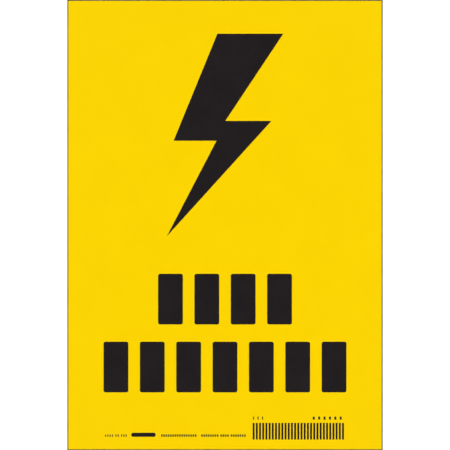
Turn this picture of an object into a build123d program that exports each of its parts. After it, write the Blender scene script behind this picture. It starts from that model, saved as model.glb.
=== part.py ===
"""Electrical safety sign: one sheet of self-adhesive vinyl, printed in black on its yellow face.

The sheet lies on its back in the XY plane, face up, with the top of the print towards +Y.
The origin is the middle of the back face. All lengths are in millimetres.
"""

import os

from build123d import *

# Sheet, a square-cut 7 by 10 inch blank of film, adhesive and backing paper
sheet_width = 177.8
sheet_height = 254.0
sheet_thickness = 0.28

# Ink, one screened pass that stands a little proud of the face
ink_thickness = 0.02

# Border, a hairline along the cut edge
border_width = 0.55

# Layout of the face, from its top edge down to its bottom edge
top_margin = 19.1
bolt_to_message_gap = 21.0
row_gap = 9.7
message_to_footer_gap = 17.2
bottom_margin = 6.0

# Bolt symbol, with its two level steps just above and just below mid-height
bolt_top_width = 37.2
bolt_tip_setback = 28.6
left_flank_lean = 24.7
left_step_width = 24.2
left_step_below_middle = 3.2
right_flank_lean = 32.7
right_step_width = 26.0
right_step_above_middle = 8.0

# Message field, two rows of plain upright blocks below the bolt
block_width = 14.0
block_height = 28.6
block_gap = 6.5
block_corner_radius = 1.2
upper_row_count = 4
lower_row_count = 7

# Footer stripes, evenly spaced, near the lower right corner
stripe_width = 1.1
stripe_gap = 0.7
stripe_height = 9.4
stripe_count = 29
stripe_right_margin = 21.8

# Heights on the face, worked out upwards from its bottom edge
face_plane = Plane.XY.offset(sheet_thickness)
stripe_y = -sheet_height / 2 + bottom_margin + stripe_height / 2
lower_row_y = stripe_y + stripe_height / 2 + message_to_footer_gap + block_height / 2
upper_row_y = lower_row_y + block_height + row_gap

# The bolt fills what is left above the message, centred by its top right corner and its tip
bolt_top = sheet_height / 2 - top_margin
bolt_tip = upper_row_y + block_height / 2 + bolt_to_message_gap
half_bolt = (bolt_top - bolt_tip) / 2
bolt_left = (bolt_tip_setback - bolt_top_width) / 2
bolt_plane = Plane((bolt_left, bolt_tip + half_bolt, sheet_thickness))

# The sheet itself, flat, with square corners and no holes
with BuildPart() as vinyl_sheet:
    with BuildSketch(Plane.XY):
        Rectangle(sheet_width, sheet_height)
    extrude(amount=sheet_thickness)
vinyl_sheet.part.label = "vinyl_sheet"

# The border hairline, from the cut edge inwards
with BuildPart() as border_line:
    with BuildSketch(face_plane):
        Rectangle(sheet_width, sheet_height)
        Rectangle(
            sheet_width - 2 * border_width,
            sheet_height - 2 * border_width,
            mode=Mode.SUBTRACT,
        )
    extrude(amount=ink_thickness)
border_line.part.label = "border_line"

# The bolt symbol, clockwise from the left end of its flat top, with its tip at the lower left
inner_right = bolt_top_width - right_flank_lean
with BuildPart() as bolt_symbol:
    with BuildSketch(bolt_plane):
        with BuildLine():
            Polyline(
                (0, half_bolt),
                (bolt_top_width, half_bolt),
                (inner_right, right_step_above_middle),
                (inner_right + right_step_width, right_step_above_middle),
                (-bolt_tip_setback, -half_bolt),
                (left_step_width - left_flank_lean, -left_step_below_middle),
                (-left_flank_lean, -left_step_below_middle),
                close=True,
            )
        make_face()
    extrude(amount=ink_thickness)
bolt_symbol.part.label = "bolt_symbol"

# The message field, each row centred across the sheet
block_pitch = block_width + block_gap
with BuildPart() as message_blocks:
    with BuildSketch(face_plane):
        for row_count, row_y in ((upper_row_count, upper_row_y), (lower_row_count, lower_row_y)):
            with Locations((0, row_y)):
                with GridLocations(block_pitch, 0, row_count, 1):
                    RectangleRounded(block_width, block_height, block_corner_radius)
    extrude(amount=ink_thickness)
message_blocks.part.label = "message_blocks"

# The footer stripes, ending at their own margin from the right edge
stripe_pitch = stripe_width + stripe_gap
stripe_field_width = stripe_count * stripe_pitch - stripe_gap
stripe_x = sheet_width / 2 - stripe_right_margin - stripe_field_width / 2
with BuildPart() as footer_stripes:
    with BuildSketch(face_plane):
        with Locations((stripe_x, stripe_y)):
            with GridLocations(stripe_pitch, 0, stripe_count, 1):
                Rectangle(stripe_width, stripe_height)
    extrude(amount=ink_thickness)
footer_stripes.part.label = "footer_stripes"

os.makedirs("parts", exist_ok=True)
export_step(vinyl_sheet.part, "parts/vinyl_sheet.step")
export_step(border_line.part, "parts/border_line.step")
export_step(bolt_symbol.part, "parts/bolt_symbol.step")
export_step(message_blocks.part, "parts/message_blocks.step")
export_step(footer_stripes.part, "parts/footer_stripes.step")
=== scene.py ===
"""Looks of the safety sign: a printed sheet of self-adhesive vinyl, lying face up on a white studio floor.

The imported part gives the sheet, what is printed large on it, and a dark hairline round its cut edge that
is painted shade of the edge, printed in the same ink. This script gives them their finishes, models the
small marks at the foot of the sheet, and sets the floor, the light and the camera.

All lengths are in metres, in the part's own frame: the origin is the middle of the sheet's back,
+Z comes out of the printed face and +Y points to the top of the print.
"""

import logging
import math
from dataclasses import dataclass, field
from enum import Enum

import bpy
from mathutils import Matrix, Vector


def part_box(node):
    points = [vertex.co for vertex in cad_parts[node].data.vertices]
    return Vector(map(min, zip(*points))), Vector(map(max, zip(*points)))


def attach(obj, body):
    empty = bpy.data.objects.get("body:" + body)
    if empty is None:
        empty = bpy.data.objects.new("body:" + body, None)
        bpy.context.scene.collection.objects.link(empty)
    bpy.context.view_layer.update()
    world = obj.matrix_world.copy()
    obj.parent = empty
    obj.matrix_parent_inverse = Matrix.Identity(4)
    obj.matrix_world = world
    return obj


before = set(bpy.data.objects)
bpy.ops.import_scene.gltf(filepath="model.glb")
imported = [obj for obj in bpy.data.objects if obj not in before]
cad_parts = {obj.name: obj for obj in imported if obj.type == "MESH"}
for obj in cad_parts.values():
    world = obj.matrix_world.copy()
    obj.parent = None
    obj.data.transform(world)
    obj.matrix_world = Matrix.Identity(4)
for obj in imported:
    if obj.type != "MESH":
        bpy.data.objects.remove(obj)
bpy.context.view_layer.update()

MM = 0.001
MICRON = 0.000001
BODY = "root"
WHITE = (1.0, 1.0, 1.0, 1.0)
BLACK = (0.0, 0.0, 0.0, 1.0)

# A noise pattern keeps mostly between these two values
NOISE_LOW = 0.3
NOISE_HIGH = 0.7

log = logging.getLogger("safety_sign")

Colour = tuple[float, float, float, float]
Socket = bpy.types.NodeSocket
SocketValue = float | tuple[float, ...] | Socket


class CadNode(Enum):
    """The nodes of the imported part."""

    SHEET = "vinyl_sheet"
    # border_line is a dark hairline round the cut edge, in the ink: painted shade of the edge, not print
    PAINTED_EDGE_SHADE = "border_line"
    BOLT = "bolt_symbol"
    BLOCKS = "message_blocks"
    STRIPES = "footer_stripes"


# The print, and the hairline of painted edge shade round the sheet, all take the same ink
PRINT_AND_EDGE_SHADE_NODES = (CadNode.PAINTED_EDGE_SHADE, CadNode.BOLT, CadNode.BLOCKS, CadNode.STRIPES)


class Sum(Enum):
    """The sums that the materials do."""

    ABOVE = "GREATER_THAN"
    BELOW = "LESS_THAN"
    LARGEST = "MAXIMUM"
    PRODUCT = "MULTIPLY"


class Slope(Enum):
    """The ways that a ramp goes from its low end to its high end."""

    EVEN = "LINEAR"
    SMOOTH = "SMOOTHSTEP"


class NodeGraph:
    """A node tree that is emptied, then filled one node at a time."""

    def __init__(self, tree: bpy.types.NodeTree) -> None:
        """Takes over a tree.

        Args:
            tree: The tree of a material or of the world.
        """
        tree.nodes.clear()
        self.tree = tree

    def add(self, kind: str, inputs: dict[str | int, SocketValue], **settings: str) -> bpy.types.Node:
        """Adds a node, with its settings first because they decide its sockets.

        Args:
            kind: The node's type name.
            inputs: A plain value, or the socket to read, for each input by its name or number.
            **settings: Properties of the node itself.

        Returns:
            The new node.
        """
        node = self.tree.nodes.new(kind)
        for name, value in settings.items():
            setattr(node, name, value)
        for key, value in inputs.items():
            if isinstance(value, Socket):
                self.tree.links.new(value, node.inputs[key])
            else:
                node.inputs[key].default_value = value
        return node

    def object_point(self) -> Socket:
        """Returns the point on the surface, in the part's own frame."""
        return self.add("ShaderNodeTexCoord", {}).outputs["Object"]

    def result(self, kind: Sum, *values: SocketValue) -> Socket:
        """Returns the result of one sum on its values, in order."""
        return self.add("ShaderNodeMath", dict(enumerate(values)), operation=kind.value).outputs[0]

    def noise(self, point: Socket, grain: float, detail: float = 2.0) -> Socket:
        """Adds a soft random pattern.

        Args:
            point: Where the pattern is read.
            grain: The width of one lump of it, in metres.
            detail: How many finer layers lie on it.

        Returns:
            The pattern, from 0 to 1 about a middle of 0.5.
        """
        values = {"Vector": point, "Scale": 1 / grain, "Detail": detail}
        return self.add("ShaderNodeTexNoise", values).outputs["Fac"]

    def ramp(
        self, value: Socket, start: float, end: float, low: float, high: float, slope: Slope = Slope.EVEN
    ) -> Socket:
        """Lays a stretch of values out anew, and holds it at its ends.

        Args:
            value: The value to read.
            start: The value that gives low.
            end: The value that gives high.
            low: The result at the start.
            high: The result at the end.
            slope: How the result goes from one to the other.

        Returns:
            The result.
        """
        values = {"Value": value, "From Min": start, "From Max": end, "To Min": low, "To Max": high}
        return self.add("ShaderNodeMapRange", values, interpolation_type=slope.value).outputs["Result"]

    def spread(self, pattern: Socket, low: float, high: float) -> Socket:
        """Returns a noise pattern laid out from low to high."""
        return self.ramp(pattern, NOISE_LOW, NOISE_HIGH, low, high)

    # A Mix node has sockets of each data type, all named A and B, so they are chosen by number

    def blend(self, share: SocketValue, low: SocketValue, high: SocketValue) -> Socket:
        """Returns a number between low and high, by share."""
        return self.add("ShaderNodeMix", {0: share, 2: low, 3: high}, data_type="FLOAT").outputs[0]

    def tint(self, share: SocketValue, low: SocketValue, high: SocketValue) -> Socket:
        """Returns a colour between low and high, by share."""
        return self.add("ShaderNodeMix", {0: share, 6: low, 7: high}, data_type="RGBA").outputs[2]

    def stretched(self, point: Socket, scale: tuple[float, float, float]) -> Socket:
        """Returns the point with each of its axes scaled."""
        return self.add("ShaderNodeMapping", {"Vector": point, "Scale": scale}).outputs["Vector"]

    def relief(self, pattern: Socket, height: float) -> Socket:
        """Returns the normal of a surface that a pattern raises by up to a height."""
        return self.add("ShaderNodeBump", {"Height": pattern, "Distance": height}).outputs["Normal"]


def new_material(name: str) -> tuple[bpy.types.Material, NodeGraph]:
    """Makes a material with an empty node tree.

    Args:
        name: The material's name.

    Returns:
        The material, and its tree ready to be filled.
    """
    material = bpy.data.materials.new(name)
    material.use_nodes = True
    return material, NodeGraph(material.node_tree)


def dress(piece: bpy.types.Object, material: bpy.types.Material) -> None:
    """Gives a piece its material, in place of any that it has."""
    piece.data.materials.clear()
    piece.data.materials.append(material)


@dataclass(frozen=True)
class VinylFinish:
    """Satin yellow film on its adhesive and backing paper, as one sheet shows them from all sides.

    The face is pigmented film with a faint orange peel and faint lines along its length. The cut edge
    shows the film, the adhesive and the paper as three layers, and the back is plain matte paper.
    """

    film_light: Colour = (0.980, 0.664, 0.0, 1.0)
    film_deep: Colour = (0.968, 0.650, 0.0, 1.0)
    adhesive: Colour = (0.70, 0.68, 0.58, 1.0)
    paper_light: Colour = (0.84, 0.83, 0.79, 1.0)
    paper_deep: Colour = (0.77, 0.76, 0.71, 1.0)
    film_thickness: float = 0.10 * MM
    adhesive_thickness: float = 0.03 * MM
    film_roughness: tuple[float, float] = (0.12, 0.17)
    paper_roughness: tuple[float, float] = (0.72, 0.88)
    refraction: float = 1.48
    mottle_grain: float = 26 * MM
    peel_grain: float = 1.1 * MM
    line_grain: float = 0.9 * MM
    line_stretch: float = 0.02
    line_share: float = 0.35
    fibre_grain: float = 0.35 * MM
    fibre_stretch: float = 0.25
    fibre_detail: float = 4.0
    film_relief: float = 16 * MICRON
    paper_relief: float = 9 * MICRON

    def material(self, top: float) -> bpy.types.Material:
        """Makes the sheet's material.

        Args:
            top: The height of the printed face.

        Returns:
            The material.
        """
        material, graph = new_material("satin_yellow_vinyl")
        point = graph.object_point()
        level = graph.add("ShaderNodeSeparateXYZ", {"Vector": point}).outputs["Z"]
        film_foot = top - self.film_thickness
        is_film = graph.result(Sum.ABOVE, level, film_foot)
        is_paper = graph.result(Sum.BELOW, level, film_foot - self.adhesive_thickness)

        mottle = graph.noise(point, self.mottle_grain)
        peel = graph.noise(point, self.peel_grain)
        lines = graph.noise(graph.stretched(point, (1, self.line_stretch, 1)), self.line_grain)
        fibre_point = graph.stretched(point, (1, self.fibre_stretch, 1))
        fibres = graph.noise(fibre_point, self.fibre_grain, self.fibre_detail)

        film_colour = graph.tint(graph.spread(mottle, 0.0, 1.0), self.film_deep, self.film_light)
        paper_colour = graph.tint(graph.spread(fibres, 0.0, 1.0), self.paper_deep, self.paper_light)
        under_colour = graph.tint(is_paper, self.adhesive, paper_colour)

        film_gloss = graph.spread(graph.blend(self.line_share, peel, lines), *self.film_roughness)
        paper_gloss = graph.spread(fibres, *self.paper_roughness)

        # One bump serves film and paper, so the fibres are brought to its scale
        deep_fibres = graph.result(Sum.PRODUCT, fibres, self.paper_relief / self.film_relief)
        surface = graph.blend(is_film, deep_fibres, peel)

        shader = graph.add(
            "ShaderNodeBsdfPrincipled",
            {
                "Base Color": graph.tint(is_film, under_colour, film_colour),
                "Roughness": graph.blend(is_film, paper_gloss, film_gloss),
                "Normal": graph.relief(surface, self.film_relief),
                "IOR": self.refraction,
            },
        )
        graph.add("ShaderNodeOutputMaterial", {"Surface": shader.outputs["BSDF"]})
        return material


@dataclass(frozen=True)
class InkFinish:
    """Dense black screen ink, a little uneven in depth and gloss, over the film's own orange peel."""

    full: Colour = (0.0149, 0.0120, 0.0127, 1.0)
    thin: Colour = (0.0169, 0.0136, 0.0143, 1.0)
    roughness: tuple[float, float] = (0.12, 0.17)
    refraction: float = 1.5
    cloud_grain: float = 14 * MM
    grit_grain: float = 0.45 * MM
    grit_detail: float = 3.0
    grit_share: float = 0.4
    relief: float = 8 * MICRON

    def material(self) -> bpy.types.Material:
        """Makes the ink's material.

        Returns:
            The material.
        """
        # This ink also dresses the hairline of painted edge shade round the sheet
        material, graph = new_material("satin_black_ink_and_edge_shade")
        point = graph.object_point()
        cloud = graph.noise(point, self.cloud_grain)
        grit = graph.noise(point, self.grit_grain, self.grit_detail)
        uneven = graph.blend(self.grit_share, cloud, grit)
        shader = graph.add(
            "ShaderNodeBsdfPrincipled",
            {
                "Base Color": graph.tint(graph.spread(uneven, 0.0, 1.0), self.full, self.thin),
                "Roughness": graph.spread(uneven, *self.roughness),
                "Normal": graph.relief(grit, self.relief),
                "IOR": self.refraction,
            },
        )
        graph.add("ShaderNodeOutputMaterial", {"Surface": shader.outputs["BSDF"]})
        return material


@dataclass
class PrintedSheet:
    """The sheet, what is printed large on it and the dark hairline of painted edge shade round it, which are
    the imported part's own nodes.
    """

    vinyl: VinylFinish = field(default_factory=VinylFinish)

    def __post_init__(self) -> None:
        """Reads the sheet's place from the frame."""
        self.low, self.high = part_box(CadNode.SHEET.value)

    def build(self, ink: bpy.types.Material) -> None:
        """Dresses the nodes.

        Args:
            ink: The finish of everything that is printed, and of the hairline of painted edge shade.
        """
        dress(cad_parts[CadNode.SHEET.value], self.vinyl.material(self.high.z))
        log.info("%s: dressed as vinyl", CadNode.SHEET.value)
        # The print and the hairline of painted edge shade get the same ink
        for node in PRINT_AND_EDGE_SHADE_NODES:
            dress(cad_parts[node.value], ink)
            log.info("%s: dressed as ink", node.value)


@dataclass
class InkShape:
    """One flat-topped patch of ink with rounded corners, modelled from a plane."""

    width: float
    height: float
    thickness: float
    corner_radius: float
    corner_segments: int = 3

    def model(self, centre: Vector) -> bpy.types.Object:
        """Models the patch, standing on the face.

        Args:
            centre: The middle of its foot.

        Returns:
            The patch, with its place in its object.
        """
        bpy.ops.object.select_all(action="DESELECT")
        bpy.ops.mesh.primitive_plane_add(size=1.0, location=centre)
        patch = bpy.context.object
        patch.name = "ink_patch"
        bpy.ops.object.mode_set(mode="EDIT")
        bpy.ops.mesh.select_all(action="SELECT")
        bpy.ops.transform.resize(value=(self.width, self.height, 1.0))
        bpy.ops.mesh.bevel(
            offset=self.corner_radius,
            segments=self.corner_segments,
            affect="VERTICES",
            clamp_overlap=True,
        )
        bpy.ops.mesh.select_all(action="SELECT")
        bpy.ops.mesh.extrude_region_move(TRANSFORM_OT_translate={"value": (0, 0, self.thickness)})
        bpy.ops.mesh.select_all(action="SELECT")
        bpy.ops.mesh.normals_make_consistent(inside=False)
        bpy.ops.object.mode_set(mode="OBJECT")
        return patch

    def row(self, start: Vector, steps: list[float]) -> list[bpy.types.Object]:
        """Models the patch once and copies it along +X.

        Args:
            start: Where the row is measured from, level with the middle of the patches.
            steps: The distance from there to the left side of each one.

        Returns:
            The patches, in the order of the steps.
        """
        first_step, *other_steps = steps
        first = self.model(start + Vector((first_step + self.width / 2, 0, 0)))
        return [first] + [shifted_copy(first, Vector((step - first_step, 0, 0))) for step in other_steps]


def shifted_copy(pattern: bpy.types.Object, shift: Vector) -> bpy.types.Object:
    """Copies a piece, with a mesh of its own.

    Args:
        pattern: The piece to copy.
        shift: How far the copy moves from it.

    Returns:
        The copy.
    """
    bpy.ops.object.select_all(action="DESELECT")
    pattern.select_set(True)
    bpy.context.view_layer.objects.active = pattern
    bpy.ops.object.duplicate(linked=False)
    bpy.ops.transform.translate(value=shift)
    return bpy.context.object


def join_as(name: str, pieces: list[bpy.types.Object]) -> bpy.types.Object:
    """Joins pieces into one, with its place in its mesh and its object at the origin.

    Args:
        name: The joined piece's name.
        pieces: The pieces, all meshes.

    Returns:
        The joined piece.
    """
    bpy.ops.object.select_all(action="DESELECT")
    for piece in pieces:
        piece.select_set(True)
    bpy.context.view_layer.objects.active = pieces[0]
    bpy.ops.object.join()
    bpy.ops.object.transform_apply(location=True, rotation=True, scale=True)
    joined = bpy.context.object
    joined.name = name
    return joined


@dataclass(frozen=True)
class BlockStretch:
    """A stretch of the foot line: runs of small blocks, with more room between two runs."""

    start: float
    run_counts: tuple[int, ...]
    block_width: float

    def steps(self, pitch: float, run_gap: float) -> list[float]:
        """Works out where the blocks stand.

        Args:
            pitch: The distance from one block to the next within a run.
            run_gap: The room that is added between two runs.

        Returns:
            The distance from the start of the line to the left side of each block.
        """
        steps = []
        run_start = self.start
        for count in self.run_counts:
            steps += [run_start + pitch * number for number in range(count)]
            run_start += pitch * count + run_gap
        return steps


@dataclass(frozen=True)
class TabRun:
    """An even run of upright tabs, with its inset from the end of the stripes that it keeps to."""

    count: int
    pitch: float
    width: float
    inset: float

    def steps(self) -> list[float]:
        """Returns the distance from the first tab to each one."""
        return [self.pitch * number for number in range(self.count)]

    def span(self) -> float:
        """Returns the run's length, from the first tab's left side to the last one's right side."""
        return (self.count - 1) * self.pitch + self.width


@dataclass
class FootMarks:
    """The small marks at the foot: a line of small blocks with a bar in it, and tabs over the stripes."""

    line_margin: float = 21.3 * MM
    line_rise: float = 8.25 * MM
    stretches: tuple[BlockStretch, ...] = (
        BlockStretch(start=0.0, run_counts=(4, 2, 3), block_width=0.62 * MM),
        BlockStretch(start=31.6 * MM, run_counts=(16,), block_width=0.80 * MM),
        BlockStretch(start=54.2 * MM, run_counts=(8, 4, 7), block_width=0.80 * MM),
    )
    block_height: float = 1.40 * MM
    block_pitch: float = 1.27 * MM
    block_corner: float = 0.12 * MM
    run_gap: float = 0.70 * MM
    bar_start: float = 14.7 * MM
    bar_lift: float = 0.45 * MM
    bar_width: float = 13.8 * MM
    bar_height: float = 2.3 * MM
    bar_corner: float = 1.0 * MM
    left_tabs: TabRun = TabRun(count=3, pitch=2.54 * MM, width=0.60 * MM, inset=0.20 * MM)
    right_tabs: TabRun = TabRun(count=6, pitch=3.04 * MM, width=1.10 * MM, inset=1.30 * MM)
    tab_height: float = 1.8 * MM
    tab_gap: float = 1.8 * MM
    tab_corner: float = 0.15 * MM

    def __post_init__(self) -> None:
        """Reads the places that the marks keep to from the frame."""
        sheet_low, self.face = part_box(CadNode.SHEET.value)
        self.stripes_low, self.stripes_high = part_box(CadNode.STRIPES.value)
        self.ink_thickness = self.stripes_high.z - self.face.z
        self.line_start = Vector((sheet_low.x + self.line_margin, sheet_low.y + self.line_rise, self.face.z))

    def bar(self) -> bpy.types.Object:
        """Models the bar in the gap of the line."""
        shape = InkShape(self.bar_width, self.bar_height, self.ink_thickness, self.bar_corner)
        return shape.model(self.line_start + Vector((self.bar_start + self.bar_width / 2, self.bar_lift, 0)))

    def blocks(self, stretch: BlockStretch) -> list[bpy.types.Object]:
        """Models the small blocks of one stretch of the line."""
        shape = InkShape(stretch.block_width, self.block_height, self.ink_thickness, self.block_corner)
        return shape.row(self.line_start, stretch.steps(self.block_pitch, self.run_gap))

    def tabs(self, run: TabRun, left: float) -> list[bpy.types.Object]:
        """Models one run of tabs above the stripes.

        Args:
            run: The run.
            left: The left side of its first tab.

        Returns:
            The tabs, from left to right.
        """
        shape = InkShape(run.width, self.tab_height, self.ink_thickness, self.tab_corner)
        middle_height = self.stripes_high.y + self.tab_gap + self.tab_height / 2
        return shape.row(Vector((left, middle_height, self.face.z)), run.steps())

    def line_piece(self) -> bpy.types.Object:
        """Models the whole foot line as one piece.

        Returns:
            The piece.
        """
        pieces = [self.bar()]
        for stretch in self.stretches:
            pieces += self.blocks(stretch)
        return join_as("foot_line", pieces)

    def tabs_piece(self) -> bpy.types.Object:
        """Models both runs of tabs as one piece, one run from each end of the stripes.

        Returns:
            The piece.
        """
        right_start = self.stripes_high.x - self.right_tabs.inset - self.right_tabs.span()
        pieces = self.tabs(self.left_tabs, self.stripes_low.x + self.left_tabs.inset)
        pieces += self.tabs(self.right_tabs, right_start)
        return join_as("stripe_tabs", pieces)

    def build(self, ink: bpy.types.Material) -> None:
        """Models the marks and prints them in the same ink as the rest.

        Args:
            ink: The finish of everything that is printed.
        """
        for piece in (self.line_piece(), self.tabs_piece()):
            dress(piece, ink)
            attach(piece, BODY)
            log.info("%s: modelled, %d faces", piece.name, len(piece.data.polygons))


def seen_ray(graph: NodeGraph) -> Socket:
    """Tells the rays that show the studio from those that light it.

    Args:
        graph: The tree to add the nodes to.

    Returns:
        1 for a ray that shows the studio itself or its mirror image, and else 0.
    """
    rays = graph.add("ShaderNodeLightPath", {}).outputs
    mirrored = graph.result(Sum.LARGEST, rays["Is Glossy Ray"], rays["Is Transmission Ray"])
    return graph.result(Sum.LARGEST, rays["Is Camera Ray"], mirrored)


@dataclass
class Floor:
    """A plain pale floor that looks white, yet still takes the sheet's shadow close by."""

    size: float = 16.0
    drop: float = 10 * MICRON
    colour: Colour = (0.80, 0.80, 0.80, 1.0)
    near_glow: float = 0.28
    glow_from: float = 0.35
    glow_to: float = 1.2

    def material(self) -> bpy.types.Material:
        """Makes the floor's material, matte near the sheet and plain white further off.

        Returns:
            The material.
        """
        material, graph = new_material("white_floor")
        distance = graph.add("ShaderNodeVectorMath", {0: graph.object_point()}, operation="LENGTH")
        far = graph.ramp(distance.outputs["Value"], self.glow_from, self.glow_to, 0.0, 1.0, Slope.SMOOTH)
        glow = graph.result(Sum.PRODUCT, graph.blend(far, self.near_glow, 1.0), seen_ray(graph))
        matte = graph.add("ShaderNodeBsdfDiffuse", {"Color": graph.tint(far, self.colour, BLACK)})
        white = graph.add("ShaderNodeEmission", {"Color": WHITE, "Strength": glow})
        total = graph.add("ShaderNodeAddShader", {0: matte.outputs[0], 1: white.outputs[0]})
        graph.add("ShaderNodeOutputMaterial", {"Surface": total.outputs[0]})
        return material

    def build(self) -> None:
        """Lays the floor just under the sheet."""
        bpy.ops.object.select_all(action="DESELECT")
        bpy.ops.mesh.primitive_plane_add(size=self.size, location=(0, 0, -self.drop))
        floor = bpy.context.object
        floor.name = "studio_floor"
        dress(floor, self.material())


@dataclass
class SoftLamps:
    """A closed ring of soft lamps, so that the light on the sheet is even and the same on every side.

    They hang high enough to show no glare in a low view, and low enough to show none from above.
    """

    count: int = 8
    distance: float = 2.0
    elevation: float = math.radians(60)
    depth: float = 0.6
    power: float = 6.10

    def build(self) -> None:
        """Hangs the lamps end to end, each aimed at the origin with its long side level."""
        reach = self.distance * math.cos(self.elevation)
        height = self.distance * math.sin(self.elevation)
        breadth = 2 * reach * math.tan(math.pi / self.count)
        for step in range(self.count):
            way = 2 * math.pi * step / self.count
            place = (reach * math.sin(way), -reach * math.cos(way), height)
            turn = (math.pi / 2 - self.elevation, 0, way)
            bpy.ops.object.light_add(type="AREA", location=place, rotation=turn)
            lamp = bpy.context.object
            lamp.name = f"soft_lamp_{step + 1}"
            lamp.data.shape = "RECTANGLE"
            lamp.data.size = breadth
            lamp.data.size_y = self.depth
            lamp.data.energy = self.power


@dataclass
class Walls:
    """White walls, only as high as a level view needs, so that the face mirrors little of them.

    Their heights are the Z of a direction, which is 0 for a level one and 1 for one straight up.
    """

    white_to: float = 0.08
    dark_from: float = 0.18

    def build(self) -> None:
        """Sets the world: white low down and dark overhead."""
        world = bpy.data.worlds.new("white_walls")
        world.use_nodes = True
        bpy.context.scene.world = world
        graph = NodeGraph(world.node_tree)
        way = graph.add("ShaderNodeTexCoord", {}).outputs["Generated"]
        rise = graph.add("ShaderNodeSeparateXYZ", {"Vector": way}).outputs["Z"]
        strength = graph.ramp(rise, self.white_to, self.dark_from, 1.0, 0.0, Slope.SMOOTH)
        light = graph.add("ShaderNodeBackground", {"Color": WHITE, "Strength": strength})
        graph.add("ShaderNodeOutputWorld", {"Surface": light.outputs["Background"]})


@dataclass
class OverheadCamera:
    """A camera straight above the sheet, with a long lens, that frames all but a sliver at each end."""

    lens: float = 200.0
    sensor: float = 36.0
    edge_cut: float = 0.11 * MM

    def build(self, low: Vector, high: Vector) -> None:
        """Hangs the camera over a sheet.

        Args:
            low: The sheet's lowest corner.
            high: The sheet's highest corner.
        """
        framed_height = high.y - low.y - 2 * self.edge_cut
        distance = framed_height * self.lens / self.sensor
        middle = (low + high) / 2
        bpy.ops.object.camera_add(location=(middle.x, middle.y, high.z + distance), rotation=(0, 0, 0))
        camera = bpy.context.object
        camera.data.lens = self.lens
        camera.data.sensor_width = self.sensor
        bpy.context.scene.camera = camera
        log.info("camera: %.3f m above the face", distance)


def main() -> None:
    """Builds the dressed sign, then the studio and the camera."""
    logging.basicConfig(level=logging.INFO, format="%(name)s: %(message)s")
    ink = InkFinish().material()
    sheet = PrintedSheet()
    sheet.build(ink)
    FootMarks().build(ink)
    for stage in (Floor(), SoftLamps(), Walls()):
        stage.build()
    bpy.context.scene.view_settings.view_transform = "Standard"
    OverheadCamera().build(sheet.low, sheet.high)


if __name__ == "__main__":
    main()
